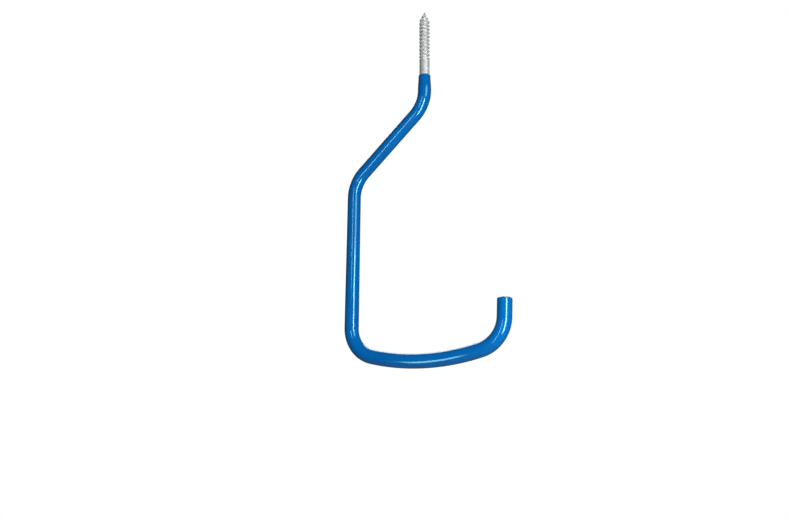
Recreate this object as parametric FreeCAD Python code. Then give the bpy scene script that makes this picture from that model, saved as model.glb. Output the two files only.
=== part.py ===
import FreeCAD, Part
import math
import os

# A screw-in bicycle storage hook. One round steel bar is bent cold in a single plane, its upper end
# carries a coarse wood-screw thread, and everything below the screw is dipped in vinyl.
# Millimetres and degrees. +Z is up. The origin lies on the screw's axis, in the mounting face that the
# hook is screwed into. The bar lies in the XZ plane, with its open tip toward +X.

# Bar stock
bar_diameter = 9.525

# Screw end, above the mounting face
blank_diameter = 9.1            # the bar is reduced to this for the screw
blank_step_length = 0.2         # cone from the bar's size down to the blank's
plain_length = 10.0             # plain blank above the mounting face
thread_length = 48.0            # from the end of the plain blank to the very point
thread_pitch = 3.63             # seven turns to the inch
root_diameter = 6.73
crest_diameter = 9.4
crest_width = 0.45
flank_angle = 30.0              # each flank, from square to the axis
root_shoulder_length = 1.4      # cone from the blank's size down to the root
point_length = 9.0              # gimlet point
point_tip_diameter = 0.7
point_gap = 1.8                 # the thread ends this far short of the very point
run_in_turns = 0.6              # the thread rises out of the blank over this much of a turn
ridge_setting = 0.6             # how deep the thread's ridge is set into the metal under it
steps_per_turn = 8

# Bends, all measured on the bar's centreline
neck_length = 19.0              # straight, from the mounting face to the first bend
offset_angle = 48.5             # the diagonal's slope from vertical
offset_bend_radius = 30.0
reach_to_shank = 71.0           # screw's axis to the long straight shank
bottom_depth = 260.0            # mounting face to the lowest point of the bottom
bottom_radius = 210.0           # the bottom is a shallow bow
corner_radius = 27.0
reach_to_tip = 70.6             # screw's axis to where the straight tip begins
tip_lean = 2.5                  # the tip leans out from vertical
tip_length = 14.3               # straight steel after the last corner

# Vinyl coating, as wall thicknesses on the bar. A dipped coat drains: it is thin at its upper end
# and thickest low down.
coat_gap = 4.9                  # bare steel between the mounting face and the coating
coat_wall_top = 0.85            # at the coating's upper end, on the blank
coat_wall_upper = 1.24          # from the first bend to the top of the shank
coat_wall_lower = 1.54          # round the bottom and the tip
coat_wall_end = 1.5             # over the bar's sawn end
coat_top_rounding = 0.35
coat_tip_rounding = 1.3

bar_radius = bar_diameter / 2
blank_radius = blank_diameter / 2
root_radius = root_diameter / 2
crest_radius = crest_diameter / 2
point_tip_radius = point_tip_diameter / 2

same_place = 1e-6               # two points or sizes closer than this are one

UP = FreeCAD.Vector(0, 0, 1)
ACROSS = FreeCAD.Vector(0, 1, 0)


class Rod:
    """Round bar laid down in the XZ plane run by run and bend by bend, as a bar bender feeds it."""

    def __init__(self, height, radius):
        self.end = FreeCAD.Vector(0, 0, height)
        self.heading = 0.0          # degrees from straight down, positive toward +X
        self.radius = radius
        self.pieces = []

    def ahead(self):
        turn = math.radians(self.heading)
        return FreeCAD.Vector(math.sin(turn), 0, -math.cos(turn))

    def run(self, length, end_radius=None, start_rounding=0.0, end_rounding=0.0):
        """A straight stretch, tapered where end_radius differs, with its ends rounded if asked."""
        end_radius = end_radius or self.radius
        start = self.end
        self.end = start + self.ahead() * length
        if abs(end_radius - self.radius) < same_place:
            piece = Part.makeCylinder(self.radius, length, start, self.ahead())
        else:
            piece = Part.makeCone(self.radius, end_radius, length, start, self.ahead())
        for rounding, centre in ((start_rounding, start), (end_rounding, self.end)):
            if rounding > 0:
                piece = round_rim(piece, centre, rounding)
        self.radius = end_radius
        self.pieces.append(piece)

    def bend(self, bend_radius, turn):
        """A bend on bend_radius: a positive turn swings the heading toward +X, as seen from -Y."""
        axis = ACROSS * -math.copysign(1.0, turn)
        centre = self.end + axis.cross(self.ahead()) * bend_radius
        section = Part.Face(Part.Wire(Part.makeCircle(self.radius, self.end, self.ahead())))
        self.pieces.append(section.revolve(centre, axis, abs(turn)))
        swing = FreeCAD.Rotation(axis, abs(turn))
        self.end = centre + swing.multVec(self.end - centre)
        self.heading += turn

    def solid(self):
        return self.pieces[0].multiFuse(self.pieces[1:]).removeSplitter()


def round_rim(piece, centre, rounding):
    """Rounds the rim of the flat end that lies at centre."""
    circles = [edge for edge in piece.Edges if isinstance(edge.Curve, Part.Circle)]
    rim = [edge for edge in circles if edge.Curve.Center.distanceToPoint(centre) < same_place]
    return piece.makeFillet(rounding, rim)


def follow_bends(rod, lower_radius):
    """Lays the bends that the bar and its coating share, from the neck's end to the tip's start."""
    slope = math.radians(offset_angle)
    bend_width = offset_bend_radius * (1 - math.cos(slope))
    diagonal_length = (reach_to_shank - 2 * bend_width) / math.sin(slope)
    rod.bend(offset_bend_radius, -offset_angle)
    rod.run(diagonal_length)
    rod.bend(offset_bend_radius, offset_angle)

    # Each corner's arc is tangent inside the bottom's bow, so the line through both centres meets
    # the bow where the corner ends, and gives the angle at which it does.
    bow_centre = bottom_radius - bottom_depth
    inner = bottom_radius - corner_radius
    shank_side = reach_to_shank - corner_radius
    tip_side = reach_to_tip - corner_radius * math.cos(math.radians(tip_lean))
    corner_height = bow_centre - math.sqrt(inner ** 2 - shank_side ** 2)
    shank_swing = math.degrees(math.asin(shank_side / inner))
    tip_swing = math.degrees(math.asin(tip_side / inner))
    rod.run(rod.end.z - corner_height, end_radius=lower_radius)
    rod.bend(corner_radius, 90 - shank_swing)
    rod.bend(bottom_radius, shank_swing + tip_swing)
    rod.bend(corner_radius, 90 - tip_swing - tip_lean)


def ridge_lines():
    """The ridge's four long edges as points: its two feet set into the root, its crest between them."""
    run_in = run_in_turns * thread_pitch
    start = plain_length - run_in
    point_start = plain_length + thread_length - point_length
    rise = thread_length + run_in - point_gap
    steps = round(rise / thread_pitch * steps_per_turn)
    flank_slope = math.tan(math.radians(flank_angle))
    sunk_crest = min(blank_radius, crest_radius) - ridge_setting
    lines = [[], [], [], []]
    for step in range(steps + 1):
        climb = rise * step / steps
        height = start + climb
        angle = 2 * math.pi * climb / thread_pitch
        emerged = min(1.0, climb / run_in)
        along_point = max(0.0, height - point_start) / point_length
        taper = 1 - along_point * (1 - point_tip_diameter / root_diameter)
        crest = (sunk_crest + (crest_radius - sunk_crest) * emerged) * taper
        foot = (root_radius - ridge_setting) * taper
        half_crest = crest_width / 2 * taper
        half_foot = half_crest + (crest - foot) * flank_slope
        corners = ((foot, -half_foot), (crest, -half_crest), (crest, half_crest), (foot, half_foot))
        for line, (radius, lift) in zip(lines, corners):
            line.append(FreeCAD.Vector(radius * math.cos(angle), radius * math.sin(angle), height + lift))
    return lines


def ridge_turn(curves, first, last):
    """One turn of the ridge: four ruled faces between its long edges, closed by its cut sections."""
    edges = [curve.toShape(first, last) for curve in curves]
    sides = [Part.makeRuledSurface(edges[i], edges[(i + 1) % 4], 1) for i in range(4)]
    cuts = []
    for place in (first, last):
        corners = [curve.value(place) for curve in curves]
        cuts.append(Part.Face(Part.makePolygon(corners + corners[:1])))
    turn = Part.Solid(Part.makeShell(sides + cuts))
    if turn.Volume < 0:
        turn.reverse()
    return turn


def thread_ridge():
    """The wood-screw thread: a ridge that winds up the root and tapers away on the gimlet point."""
    curves = []
    for line in ridge_lines():
        curve = Part.BSplineCurve()
        curve.interpolate(line, Parameters=[float(step) for step in range(len(line))])
        curves.append(curve)
    steps = len(line) - 1
    return [ridge_turn(curves, first, min(first + steps_per_turn, steps))
            for first in range(0, steps, steps_per_turn)]


def screw_core():
    """The plain blank, the thread's root and the gimlet point, turned about the screw's axis."""
    root_start = plain_length + root_shoulder_length
    tip = plain_length + thread_length
    outline = [(0, -coat_gap), (blank_radius, -coat_gap), (blank_radius, plain_length),
               (root_radius, root_start), (root_radius, tip - point_length),
               (point_tip_radius, tip), (0, tip), (0, -coat_gap)]
    face = Part.Face(Part.makePolygon([FreeCAD.Vector(radius, 0, height) for radius, height in outline]))
    return face.revolve(FreeCAD.Vector(0, 0, 0), UP, 360)


def steel_rod():
    rod = Rod(-coat_gap, blank_radius)
    rod.run(blank_step_length, end_radius=bar_radius)
    rod.run(neck_length - coat_gap - blank_step_length)
    follow_bends(rod, bar_radius)
    rod.run(tip_length)
    screw = screw_core().multiFuse(thread_ridge())
    return rod.solid().fuse(screw)


def vinyl_coating(steel):
    coat = Rod(-coat_gap, blank_radius + coat_wall_top)
    coat.run(neck_length - coat_gap, end_radius=bar_radius + coat_wall_upper,
             start_rounding=coat_top_rounding)
    follow_bends(coat, bar_radius + coat_wall_lower)
    coat.run(tip_length + coat_wall_end, end_rounding=coat_tip_rounding)
    return coat.solid().cut(steel)


steel = steel_rod()
nodes = {
    "steel_rod": steel,
    "vinyl_coating": vinyl_coating(steel),
}
os.makedirs("parts", exist_ok=True)
for name, shape in nodes.items():
    shape.exportStep(os.path.join("parts", name + ".step"))
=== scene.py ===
import bpy
import math
from mathutils import Matrix, Vector, noise


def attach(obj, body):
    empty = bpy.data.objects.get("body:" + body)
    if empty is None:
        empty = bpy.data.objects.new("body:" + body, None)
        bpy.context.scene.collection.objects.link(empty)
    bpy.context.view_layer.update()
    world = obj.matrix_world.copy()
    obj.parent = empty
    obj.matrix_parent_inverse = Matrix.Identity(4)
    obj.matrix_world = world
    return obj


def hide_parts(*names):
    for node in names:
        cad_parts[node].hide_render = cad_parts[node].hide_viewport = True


# The looks of a screw-in bicycle storage hook: a bent steel bar with a wood-screw thread, dipped in
# glossy blue vinyl. Metres and degrees. The frame is the part's own: +Z up along the screw, the bar in
# the XZ plane, the origin on the screw's axis in the mounting face that the hook is screwed into.

# Bar
blank_radius = 0.00455
bar_radius = 0.0047625
coat_top = -0.0049              # height of the coating's top edge, under the mounting face
blank_step_length = 0.0002      # the bar swells from the blank's size over this length

# Bends, all measured on the bar's centreline, as in the solids
neck_length = 0.019
offset_angle = 48.5
offset_bend_radius = 0.030
reach_to_shank = 0.071
bottom_depth = 0.260
bottom_radius = 0.210
corner_radius = 0.027
reach_to_tip = 0.0706
tip_lean = 2.5
tip_length = 0.0143

# Vinyl coating
coat_wall_top = 0.00085
coat_wall_upper = 0.00124
coat_wall_lower = 0.00154
coat_wall_end = 0.0015
coat_top_rounding = 0.0005
end_dome_height = 0.0018        # the vinyl closes over the sawn end in a low dome with a full rim
skin_inset = 0.00002            # the skin is drawn this much inside the solid's wall
coat_bite = 0.00003             # the bore is drawn this much inside the steel, so that no gap shows

# How finely the coating is drawn
ring_spacing = 0.0012
bore_ring_spacing = 0.003
ring_points = 72
rounding_steps = 8
dome_steps = 14
no_turn = 1e-9                  # a turn smaller than this, in radians, is straight

# The dipped skin isn't quite even: it is thinner in long soft patches
ripple_depth = 0.00004
ripple_length = 0.016

# Noise that the materials share
noise_limits = (0.3, 0.7)       # most of a noise field lies between these
noise_detail = 3.0              # octaves of finer noise on top of the patches

# Vinyl's surface. Each relief is the size of its patches and its height.
vinyl_deep = (0.0005, 0.113, 0.378)
vinyl_bright = (0.0008, 0.125, 0.414)
vinyl_tint = (0.42, 0.95, 1.0)  # colour of its highlights
vinyl_shine = 0.9
vinyl_roughness = (0.08, 0.12)
vinyl_tone_size = 0.018
vinyl_gloss_size = 0.006
vinyl_waves = (0.012, 0.00002)
vinyl_peel = (0.0008, 0.0000005)
vinyl_relief_detail = 1.0

# Steel's surface
steel_dull = (0.60, 0.615, 0.615)
steel_bright = (0.78, 0.79, 0.785)
steel_metallic = 0.65
steel_roughness = (0.48, 0.66)
steel_cloud_size = 0.003
steel_cloud_detail = 5.0
rolling_marks = (0.00035, 0.000012)
rolling_mark_stretch = (14.0, 14.0, 1.0)
rolling_mark_detail = 2.0

# Photograph's camera
photo_width = 789
focal_pixels = 847.1
camera_place = Vector((0.3125, -0.6205, -0.3501))
camera_azimuth = 28.83
camera_pitch = 14.16
camera_roll = 0.48
sensor_width = 36.0             # in millimetres, as Blender takes it

# Studio
floor_height = -1.3
floor_half_size = 12.0
floor_grey = 0.35
floor_glow = 0.75               # the camera sees the floor at least this pale
floor_fade = (0.7, 2.2)         # the floor turns into the white background between these distances
room_light = 0.03               # even light from all round, as the vinyl and the steel mirror it
room_fill = 0.15                # even light from all round where it falls on matt colour
lit_height = -0.15              # the lamps face the screw's axis at this height

# Mirrored rays see all of the backdrop's white up to the first angle off its middle, and none of it
# past the second.
backdrop_angles = (16.0, 32.0)

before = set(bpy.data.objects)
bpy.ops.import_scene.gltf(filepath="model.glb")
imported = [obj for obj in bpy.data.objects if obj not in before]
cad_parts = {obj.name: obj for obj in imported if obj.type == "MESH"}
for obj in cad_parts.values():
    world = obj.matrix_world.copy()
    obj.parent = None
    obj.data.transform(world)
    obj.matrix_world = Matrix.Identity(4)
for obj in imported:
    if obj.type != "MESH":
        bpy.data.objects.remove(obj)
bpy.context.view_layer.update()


class Centreline:
    """The bar's centreline in the XZ plane, laid down as runs and bends from the mounting face."""

    def __init__(self):
        self.pieces = []
        self.length = 0.0
        self.end = Vector((0.0, 0.0, 0.0))
        self.heading = 0.0      # radians from straight down, positive toward +X

    def add(self, length, turn):
        self.pieces.append((self.length, length, turn, self.end, self.heading))
        self.end, self.heading = self.along(self.pieces[-1], length)
        self.length += length

    def run(self, length):
        self.add(length, 0.0)

    def bend(self, radius, turn):
        self.add(radius * abs(math.radians(turn)), math.radians(turn))

    @staticmethod
    def along(piece, distance):
        """Place and heading at a distance into one piece."""
        _, length, turn, start, heading = piece
        turned = turn * distance / length
        chord = distance
        if abs(turned) > no_turn:
            chord = 2 * math.sin(abs(turned) / 2) * distance / abs(turned)
        middle = heading + turned / 2
        return start + Vector((math.sin(middle), 0.0, -math.cos(middle))) * chord, heading + turned

    def at(self, distance):
        """Place and heading at a distance along the bar."""
        piece = self.pieces[0]
        for candidate in self.pieces:
            if candidate[0] <= distance:
                piece = candidate
        return self.along(piece, distance - piece[0])


def bent_bar():
    """The centreline with every bend, and the distances along it to the shank's ends and the bar's."""
    slope = math.radians(offset_angle)
    bend_width = offset_bend_radius * (1 - math.cos(slope))
    line = Centreline()
    line.run(neck_length)
    line.bend(offset_bend_radius, -offset_angle)
    line.run((reach_to_shank - 2 * bend_width) / math.sin(slope))
    line.bend(offset_bend_radius, offset_angle)
    shank_start = line.length

    # Each corner is tangent inside the bottom's bow, so the line through both centres meets the bow
    # where the corner ends.
    inner = bottom_radius - corner_radius
    shank_side = reach_to_shank - corner_radius
    tip_side = reach_to_tip - corner_radius * math.cos(math.radians(tip_lean))
    corner_height = bottom_radius - bottom_depth - math.sqrt(inner ** 2 - shank_side ** 2)
    shank_swing = math.degrees(math.asin(shank_side / inner))
    tip_swing = math.degrees(math.asin(tip_side / inner))
    line.run(line.end.z - corner_height)
    shank_end = line.length
    line.bend(corner_radius, 90 - shank_swing)
    line.bend(bottom_radius, shank_swing + tip_swing)
    line.bend(corner_radius, 90 - tip_swing - tip_lean)
    line.run(tip_length)
    bar_end = line.length
    line.run(coat_wall_end)
    return line, shank_start, shank_end, bar_end


line, shank_start, shank_end, bar_end = bent_bar()


def eased(value, low, high):
    """0 below low, 1 above high, and a smooth step between."""
    share = min(1.0, max(0.0, (value - low) / (high - low)))
    return share * share * (3 - 2 * share)


def coat_radius(distance):
    """Outer radius of the vinyl: it drains while it sets, so it thickens from the top to the bottom."""
    top = blank_radius + coat_wall_top
    upper = bar_radius + coat_wall_upper
    lower = bar_radius + coat_wall_lower
    to_upper = (upper - top) * eased(distance, -coat_top, neck_length)
    to_lower = (lower - upper) * eased(distance, shank_start, shank_end)
    return top + to_upper + to_lower - skin_inset


def bore_radius(distance):
    """Radius of the bore, which follows the step from the blank to the bar."""
    swelled = eased(distance, -coat_top, -coat_top + blank_step_length)
    return blank_radius + (bar_radius - blank_radius) * swelled - coat_bite


def spaced(start, end, spacing):
    """Distances from start to end, both included, at most spacing apart."""
    count = max(1, math.ceil((end - start) / spacing))
    return [start + (end - start) * step / count for step in range(count + 1)]


def outer_rings():
    """The coating's outer wall, from its rounded top edge to its domed end, as rings: the distance along
    the bar, the radius and the share of the ripple."""
    start = -coat_top
    wall_start = start + coat_top_rounding
    dome_start = line.length - end_dome_height
    rings = []
    for step in range(rounding_steps + 1):
        turn = math.pi / 2 * step / rounding_steps
        radius = coat_radius(start) - coat_top_rounding * (1 - math.sin(turn))
        rings.append((start + coat_top_rounding * (1 - math.cos(turn)), radius, 0.0))
    for distance in spaced(wall_start, dome_start, ring_spacing)[1:]:
        rings.append((distance, coat_radius(distance), 1.0))
    for step in range(1, dome_steps):
        turn = math.pi / 2 * step / dome_steps
        share = math.sqrt(math.cos(turn))
        distance = dome_start + end_dome_height * math.sin(turn)
        rings.append((distance, coat_radius(dome_start) * share, share))
    return rings


def bore_rings():
    """The bore, which follows the bar from the coating's top to the bar's sawn end, as rings."""
    step_end = -coat_top + blank_step_length
    distances = [-coat_top] + spaced(step_end, bar_end - coat_bite, bore_ring_spacing)
    return [(distance, bore_radius(distance), 0.0) for distance in distances]


def ring_vertices(distance, radius, ripple):
    """One ring of the skin, square to the bar. Ripple is the share of the skin's unevenness it has."""
    centre, heading = line.at(distance)
    sideways = Vector((math.cos(heading), 0.0, math.sin(heading)))
    across = Vector((0.0, 1.0, 0.0))
    vertices = []
    for point in range(ring_points):
        turn = 2 * math.pi * point / ring_points
        outward = sideways * math.cos(turn) + across * math.sin(turn)
        spot = (centre + outward * radius) / ripple_length
        thinning = (noise.noise(spot) + 1) / 2
        depth = ripple * ripple_depth * thinning
        vertices.append(centre + outward * (radius - depth))
    return vertices


def tube(rings):
    """Vertices and faces of a tube through a list of rings."""
    vertices = [vertex for ring in rings for vertex in ring_vertices(*ring)]
    faces = []
    for row in range(len(rings) - 1):
        low = row * ring_points
        high = low + ring_points
        for point in range(ring_points):
            ahead = (point + 1) % ring_points
            faces.append((low + point, high + point, high + ahead, low + ahead))
    return vertices, faces


def vinyl_coat():
    """The dipped coating as one closed skin: outer wall, domed end, bore, and the rim that joins them.
    Its faces are turned outward."""
    vertices, faces = tube(outer_rings())
    last = len(vertices) - ring_points
    tip = len(vertices)
    vertices.append(line.at(line.length)[0])
    bore_start = len(vertices)
    bore_vertices, bore_faces = tube(bore_rings())
    vertices += bore_vertices
    faces += [tuple(bore_start + corner for corner in reversed(face)) for face in bore_faces]
    for point in range(ring_points):
        ahead = (point + 1) % ring_points
        faces.append((last + ahead, last + point, tip))
        faces.append((point, ahead, bore_start + ahead, bore_start + point))
    bore_end = len(vertices) - ring_points
    faces.append(tuple(bore_end + point for point in range(ring_points)))

    mesh = bpy.data.meshes.new("vinyl_coat")
    mesh.from_pydata([tuple(vertex) for vertex in vertices], [], faces)
    mesh.validate()
    mesh.shade_smooth()
    coat = bpy.data.objects.new("vinyl_coat", mesh)
    bpy.context.scene.collection.objects.link(coat)
    return coat


def new_material(name):
    material = bpy.data.materials.new(name)
    material.use_nodes = True
    return material, material.node_tree.nodes, material.node_tree.links


def noise_field(nodes, links, size, stretch=(1.0, 1.0, 1.0), detail=noise_detail):
    """Noise in the part's own space. Its patches measure about size, times stretch along each axis."""
    place = nodes.new("ShaderNodeTexCoord")
    mapping = nodes.new("ShaderNodeMapping")
    mapping.inputs["Scale"].default_value = [1 / (size * factor) for factor in stretch]
    links.new(place.outputs["Object"], mapping.inputs["Vector"])
    field = nodes.new("ShaderNodeTexNoise")
    field.inputs["Scale"].default_value = 1.0
    field.inputs["Detail"].default_value = detail
    links.new(mapping.outputs["Vector"], field.inputs["Vector"])
    return field.outputs["Fac"]


def spread(nodes, links, value, low, high, limits=noise_limits):
    """A value brought from between the limits to between low and high."""
    change = nodes.new("ShaderNodeMapRange")
    change.inputs["From Min"].default_value = limits[0]
    change.inputs["From Max"].default_value = limits[1]
    change.inputs["To Min"].default_value = low
    change.inputs["To Max"].default_value = high
    links.new(value, change.inputs["Value"])
    return change.outputs["Result"]


def two_tone(nodes, links, field, first, second):
    """A noise field turned into a colour between first and second."""
    ramp = nodes.new("ShaderNodeValToRGB")
    for element, limit, colour in zip(ramp.color_ramp.elements, noise_limits, (first, second)):
        element.position = limit
        element.color = (*colour, 1.0)
    links.new(field, ramp.inputs["Fac"])
    return ramp.outputs["Color"]


def bumped(nodes, links, field, height, under=None):
    """A noise field as relief of the given height in metres, on top of another relief if there is one."""
    bump = nodes.new("ShaderNodeBump")
    bump.inputs["Distance"].default_value = height
    links.new(field, bump.inputs["Height"])
    if under is not None:
        links.new(under, bump.inputs["Normal"])
    return bump.outputs["Normal"]


def combined(nodes, links, operation, first, second):
    """Two values put together by one arithmetic operation."""
    result = nodes.new("ShaderNodeMath")
    result.operation = operation
    links.new(first, result.inputs[0])
    links.new(second, result.inputs[1])
    return result.outputs["Value"]


def blue_vinyl():
    """Dip-coated vinyl: deep even blue, glossy, with the soft unevenness and fine peel of a set liquid."""
    material, nodes, links = new_material("blue_vinyl")
    shader = nodes["Principled BSDF"]
    shader.inputs["Specular IOR Level"].default_value = vinyl_shine
    shader.inputs["Specular Tint"].default_value = (*vinyl_tint, 1.0)
    tone = two_tone(nodes, links, noise_field(nodes, links, vinyl_tone_size), vinyl_deep, vinyl_bright)
    links.new(tone, shader.inputs["Base Color"])
    gloss = noise_field(nodes, links, vinyl_gloss_size)
    links.new(spread(nodes, links, gloss, *vinyl_roughness), shader.inputs["Roughness"])
    relief = None
    for size, height in (vinyl_waves, vinyl_peel):
        field = noise_field(nodes, links, size, detail=vinyl_relief_detail)
        relief = bumped(nodes, links, field, height, relief)
    links.new(relief, shader.inputs["Normal"])
    return material


def zinc_steel():
    """Zinc-plated steel: pale cool metal with cloudy patches and fine rolling marks round the bar."""
    material, nodes, links = new_material("zinc_steel")
    shader = nodes["Principled BSDF"]
    shader.inputs["Metallic"].default_value = steel_metallic
    clouds = noise_field(nodes, links, steel_cloud_size, detail=steel_cloud_detail)
    links.new(two_tone(nodes, links, clouds, steel_dull, steel_bright), shader.inputs["Base Color"])
    size, height = rolling_marks
    marks = noise_field(nodes, links, size, rolling_mark_stretch, rolling_mark_detail)
    links.new(spread(nodes, links, marks, *steel_roughness), shader.inputs["Roughness"])
    links.new(bumped(nodes, links, marks, height), shader.inputs["Normal"])
    return material


def camera_forward():
    """The way the photograph's camera looks, which is also where the backdrop's middle lies."""
    turn = math.radians(camera_azimuth)
    pitch = math.radians(camera_pitch)
    return Vector((-math.sin(turn) * math.cos(pitch), math.cos(turn) * math.cos(pitch), math.sin(pitch)))


def sees_backdrop(nodes, links, direction):
    """1 for rays that meet the white backdrop. The camera sees it all round, and mirrored rays where it
    stands behind the hook."""
    unit = nodes.new("ShaderNodeVectorMath")
    unit.operation = "NORMALIZE"
    links.new(direction, unit.inputs[0])
    toward = nodes.new("ShaderNodeVectorMath")
    toward.operation = "DOT_PRODUCT"
    links.new(unit.outputs["Vector"], toward.inputs[0])
    toward.inputs[1].default_value = camera_forward()
    full, none = [math.cos(math.radians(angle)) for angle in backdrop_angles]
    behind = spread(nodes, links, toward.outputs["Value"], 0.0, 1.0, (none, full))
    path = nodes.new("ShaderNodeLightPath").outputs
    mirrored = combined(nodes, links, "MAXIMUM", path["Is Glossy Ray"], path["Is Transmission Ray"])
    seen_in_mirror = combined(nodes, links, "MULTIPLY", mirrored, behind)
    return combined(nodes, links, "MAXIMUM", path["Is Camera Ray"], seen_in_mirror)


def pale_floor():
    """Pale floor that keeps the hook's shadow and turns into the white background further out."""
    material, nodes, links = new_material("pale_floor")
    shader = nodes["Principled BSDF"]
    shader.inputs["Base Color"].default_value = (floor_grey, floor_grey, floor_grey, 1.0)
    shader.inputs["Roughness"].default_value = 1.0
    shader.inputs["Specular IOR Level"].default_value = 0.0
    seen = sees_backdrop(nodes, links, nodes.new("ShaderNodeNewGeometry").outputs["Position"])
    shader.inputs["Emission Color"].default_value = (1.0, 1.0, 1.0, 1.0)
    glow = spread(nodes, links, seen, 0.0, floor_glow, (0.0, 1.0))
    links.new(glow, shader.inputs["Emission Strength"])
    distance = nodes.new("ShaderNodeVectorMath")
    distance.operation = "LENGTH"
    links.new(nodes.new("ShaderNodeTexCoord").outputs["Object"], distance.inputs[0])
    faded = spread(nodes, links, distance.outputs["Value"], 0.0, 1.0, floor_fade)
    white = nodes.new("ShaderNodeEmission")
    mix = nodes.new("ShaderNodeMixShader")
    links.new(combined(nodes, links, "MULTIPLY", faded, seen), mix.inputs["Fac"])
    links.new(shader.outputs["BSDF"], mix.inputs[1])
    links.new(white.outputs["Emission"], mix.inputs[2])
    links.new(mix.outputs["Shader"], nodes["Material Output"].inputs["Surface"])
    return material


def studio_world():
    """White for the camera, a dim room with a white backdrop for mirrored rays, and even fill light."""
    world = bpy.data.worlds.new("studio")
    bpy.context.scene.world = world
    world.use_nodes = True
    nodes, links = world.node_tree.nodes, world.node_tree.links
    white = sees_backdrop(nodes, links, nodes.new("ShaderNodeTexCoord").outputs["Generated"])
    mirrored = spread(nodes, links, white, room_light, 1.0, (0.0, 1.0))
    falls_on_matt = nodes.new("ShaderNodeLightPath").outputs["Is Diffuse Ray"]
    fill = spread(nodes, links, falls_on_matt, 0.0, room_fill, (0.0, 1.0))
    strength = combined(nodes, links, "MAXIMUM", mirrored, fill)
    links.new(strength, nodes["Background"].inputs["Strength"])
    nodes["Background"].inputs["Color"].default_value = (1.0, 1.0, 1.0, 1.0)


def softbox(name, azimuth, distance, bottom, top, width, power):
    """A lamp facing the hook. Azimuth 0 is in front (-Y) and 90 at +X, both seen from the screw's axis.
    Its power is in watts."""
    light = bpy.data.lights.new(name, "AREA")
    light.shape = "RECTANGLE"
    light.size = width
    light.size_y = top - bottom
    light.energy = power
    turn = math.radians(azimuth)
    away = Vector((math.sin(turn), -math.cos(turn), 0.0))
    lamp = bpy.data.objects.new(name, light)
    lamp.location = away * distance + Vector((0.0, 0.0, (bottom + top) / 2))
    away_from_hook = lamp.location - Vector((0.0, 0.0, lit_height))
    lamp.rotation_euler = away_from_hook.to_track_quat("Z", "Y").to_euler()
    lamp.visible_camera = False
    bpy.context.scene.collection.objects.link(lamp)
    return lamp


def studio():
    """World, lamps and floor. The key light draws the bright streaks on the tip, the bends and the shank.
    The upper light and the strips draw thinner ones on the neck, the shank and the diagonal, the low
    light the one along the bottom, and the back light a fine one along the bottom's upper edge. The
    backdrop light is for the far side, and mirrored rays don't see it."""
    studio_world()
    softbox("key_light", azimuth=55, distance=0.50, bottom=-0.44, top=0.00, width=0.13, power=2.9)
    softbox("upper_light", azimuth=63, distance=0.80, bottom=0.06, top=0.40, width=0.40, power=1.8)
    softbox("strip_light", azimuth=8, distance=1.0, bottom=0.04, top=0.26, width=0.08, power=0.5)
    softbox("low_strip_light", azimuth=8, distance=1.0, bottom=-0.62, top=-0.12, width=0.08, power=1.25)
    softbox("low_light", azimuth=-26, distance=0.70, bottom=-0.70, top=-0.42, width=0.20, power=1.1)
    softbox("back_light", azimuth=209, distance=1.3, bottom=0.75, top=1.45, width=1.2, power=9.0)
    backdrop = softbox("backdrop_light", azimuth=209, distance=1.5, bottom=-0.8, top=0.6, width=1.6,
                       power=14.0)
    backdrop.visible_glossy = False
    bpy.ops.mesh.primitive_plane_add(size=2 * floor_half_size, location=(0, 0, floor_height))
    floor = bpy.context.object
    floor.name = "floor"
    floor.data.materials.append(pale_floor())


def photo_camera():
    """The photograph's camera: it looks up at the hook from low in front, to the right."""
    turn = math.radians(camera_azimuth)
    roll = math.radians(camera_roll)
    forward = camera_forward()
    level = Vector((math.cos(turn), math.sin(turn), 0.0))
    upright = level.cross(forward)
    right = level * math.cos(roll) + upright * math.sin(roll)
    up = upright * math.cos(roll) - level * math.sin(roll)
    data = bpy.data.cameras.new("photo_camera")
    data.sensor_fit = "HORIZONTAL"
    data.sensor_width = sensor_width
    data.lens = focal_pixels * sensor_width / photo_width
    camera = bpy.data.objects.new("photo_camera", data)
    facing = Matrix((right, up, -forward)).transposed().to_4x4()
    camera.matrix_world = Matrix.Translation(camera_place) @ facing
    bpy.context.scene.collection.objects.link(camera)
    bpy.context.scene.camera = camera


coat = vinyl_coat()
coat.data.materials.append(blue_vinyl())
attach(coat, "root")
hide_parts("vinyl_coating")

steel = zinc_steel()
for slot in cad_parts["steel_rod"].material_slots:
    slot.material = steel

photo_camera()
studio()
bpy.context.scene.view_settings.view_transform = "Standard"
